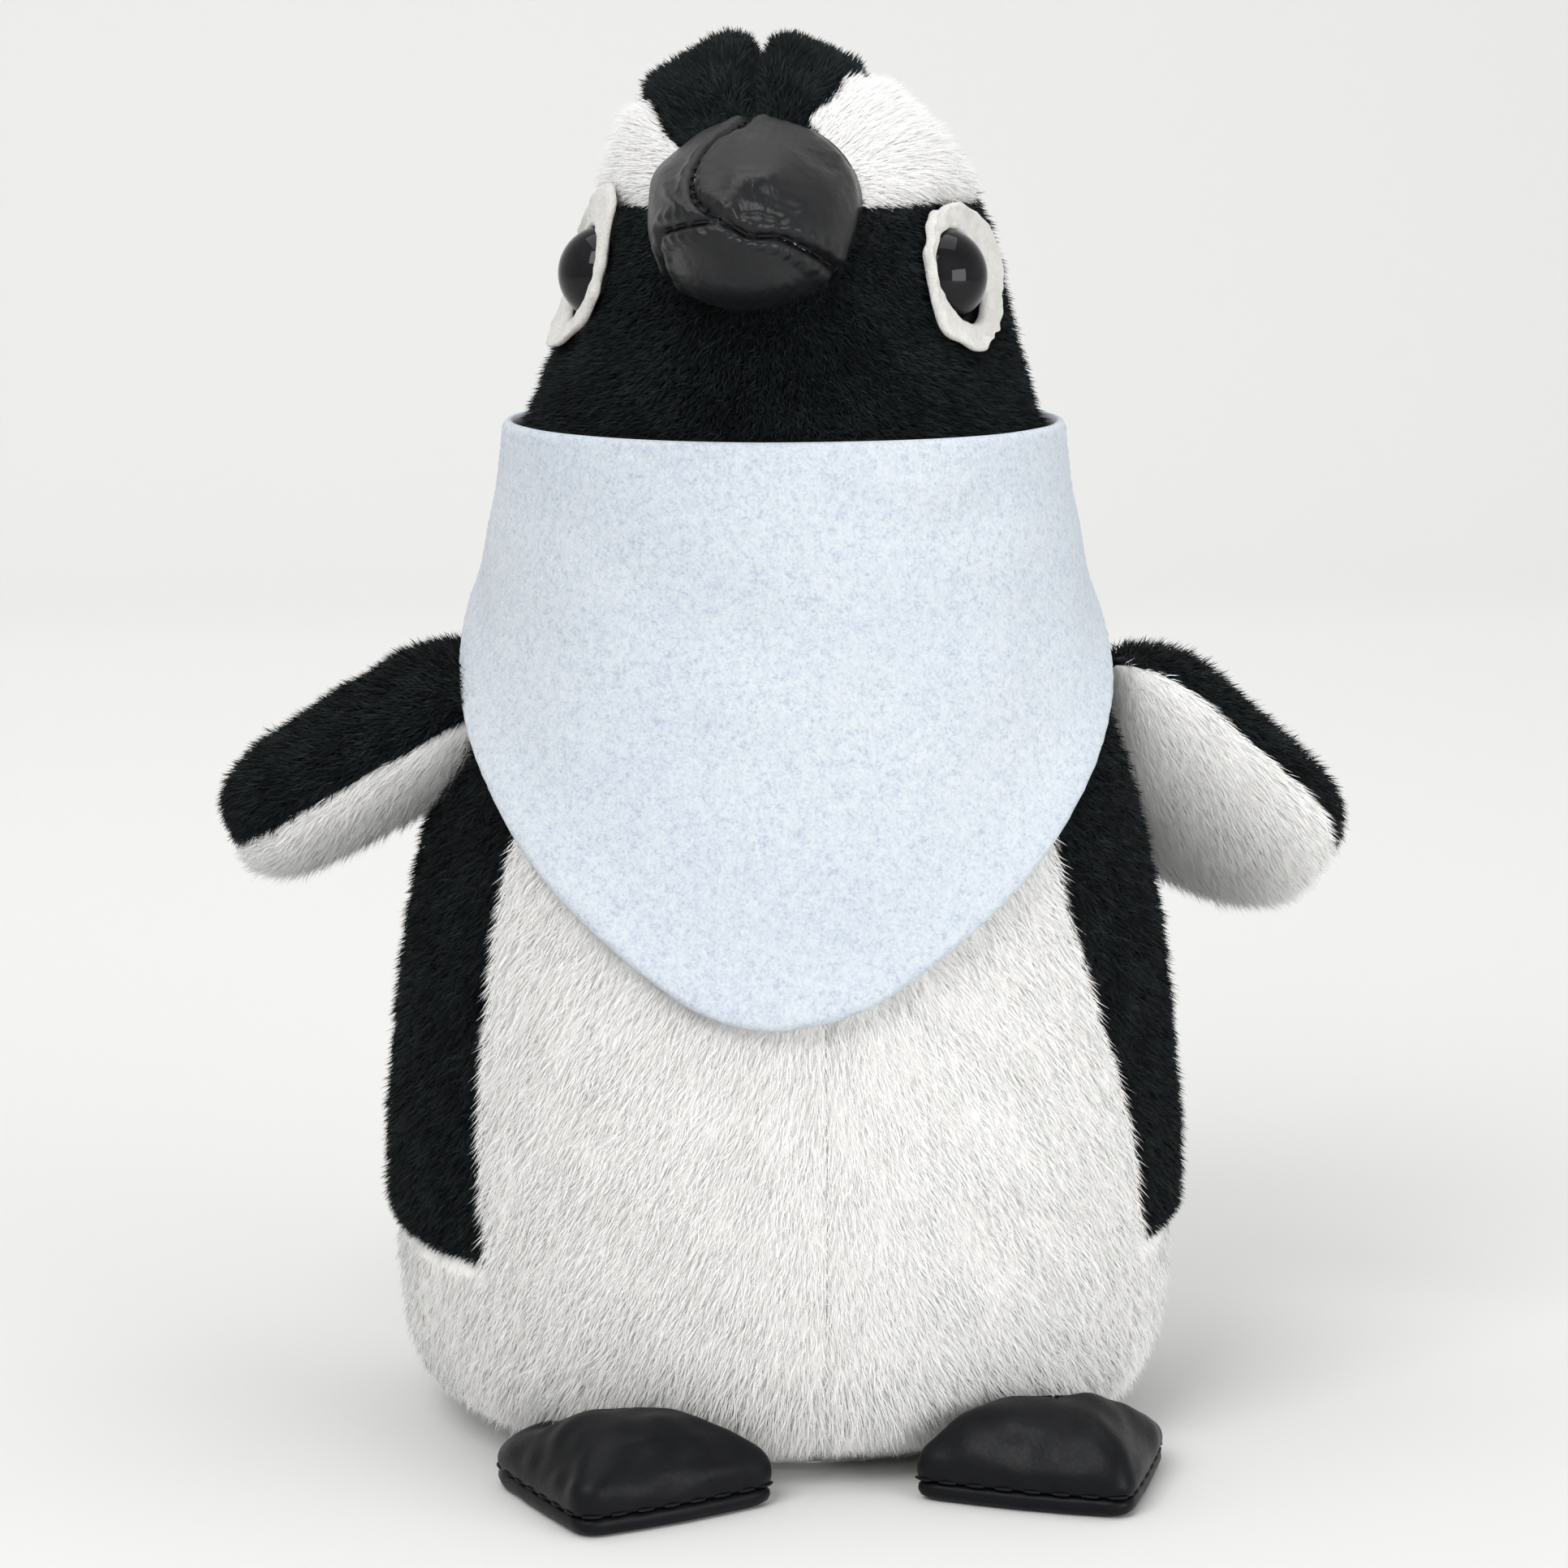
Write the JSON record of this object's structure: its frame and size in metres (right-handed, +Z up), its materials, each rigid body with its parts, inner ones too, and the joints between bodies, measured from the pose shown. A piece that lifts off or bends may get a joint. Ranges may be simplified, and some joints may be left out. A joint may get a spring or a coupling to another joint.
{
  "type": "plush penguin",
  "caption": "Free-standing stuffed penguin with a turning head, stuffed flippers, webbed leather feet, a leather beak and a cloth bib round its neck.",
  "frame": {"origin": "centre of the flat base, on the surface that the toy stands on", "axes": "+Z up, -Y the way the body faces, +X the toy's own left"},
  "size_m": [0.1162, 0.0956, 0.1422],
  "materials": {
    "white_pile": "soft brushed pile",
    "black_pile": "short matt pile",
    "base_cloth": "short pile",
    "bib_cloth": "brushed knit",
    "hook_and_loop": "woven strip",
    "leather": "satin",
    "felt": "felt",
    "eye": "polished",
    "washer": "moulded",
    "stuffing": "loose fibre",
    "bag_cloth": "plain weave",
    "pellet": "moulded"
  },
  "bodies": {
    "torso": {"belly_panel_left": "white_pile", "belly_panel_right": "white_pile", "back_panel_left": "black_pile", "back_panel_right": "black_pile", "base_panel": "base_cloth", "body_filling": "stuffing", "pellet_bag": "bag_cloth", "pellets": "pellet", "tail_upper": "black_pile", "tail_under": "black_pile", "tail_filling": "stuffing", "bib_collar": "bib_cloth", "bib_loop_strip": "hook_and_loop", "bib_hook_strip": "hook_and_loop"},
    "bib_flap": {"bib_flap": "bib_cloth"},
    "head": {"head_cap_left": "black_pile", "head_cap_right": "black_pile", "brow_patch_left": "white_pile", "brow_patch_right": "white_pile", "face_panel": "black_pile", "head_filling": "stuffing", "beak_upper_left": "leather", "beak_upper_right": "leather", "beak_lower": "leather", "beak_filling": "stuffing", "eye_left": "eye", "eye_right": "eye", "eye_washer_left": "washer", "eye_washer_right": "washer", "eye_patch_left": "felt", "eye_patch_right": "felt"},
    "flipper_left": {"flipper_left_outer": "black_pile", "flipper_left_inner": "white_pile", "flipper_left_filling": "stuffing"},
    "flipper_right": {"flipper_right_outer": "black_pile", "flipper_right_inner": "white_pile", "flipper_right_filling": "stuffing"},
    "foot_left": {"foot_left_upper": "leather", "foot_left_sole": "leather", "foot_left_filling": "stuffing"},
    "foot_right": {"foot_right_upper": "leather", "foot_right_sole": "leather", "foot_right_filling": "stuffing"}
  },
  "joints": [
    {"name": "head_turn", "type": "hinge", "parent": "torso", "child": "head", "pos_m": [0, 0, 0.098], "axis": [0, 0, 1], "range_deg": [-20, 30], "stiffness_Nm_per_rad": 0.05},
    {"name": "flipper_left_lift", "type": "hinge", "parent": "torso", "child": "flipper_left", "pos_m": [0.0412, 0.004, 0.067], "axis": [0, -1, 0], "range_deg": [-8, 50], "stiffness_Nm_per_rad": 0.01},
    {"name": "flipper_right_lift", "type": "hinge", "parent": "torso", "child": "flipper_right", "pos_m": [-0.0394, 0.004, 0.0705], "axis": [0, 1, 0], "range_deg": [-12, 50], "stiffness_Nm_per_rad": 0.01},
    {"name": "foot_left_lift", "type": "hinge", "parent": "torso", "child": "foot_left", "pos_m": [0.022, -0.0275, 0.0095], "axis": [-0.9023, -0.4311, 0], "range_deg": [0, 25], "stiffness_Nm_per_rad": 0.01},
    {"name": "foot_right_lift", "type": "hinge", "parent": "torso", "child": "foot_right", "pos_m": [-0.018, -0.0275, 0.0095], "axis": [-0.9023, 0.4311, 0], "range_deg": [0, 25], "stiffness_Nm_per_rad": 0.01},
    {"name": "bib_lift", "type": "hinge", "parent": "torso", "child": "bib_flap", "pos_m": [0, -0.0302, 0.086], "axis": [-1, 0, 0], "range_deg": [0, 55]}
  ]
}
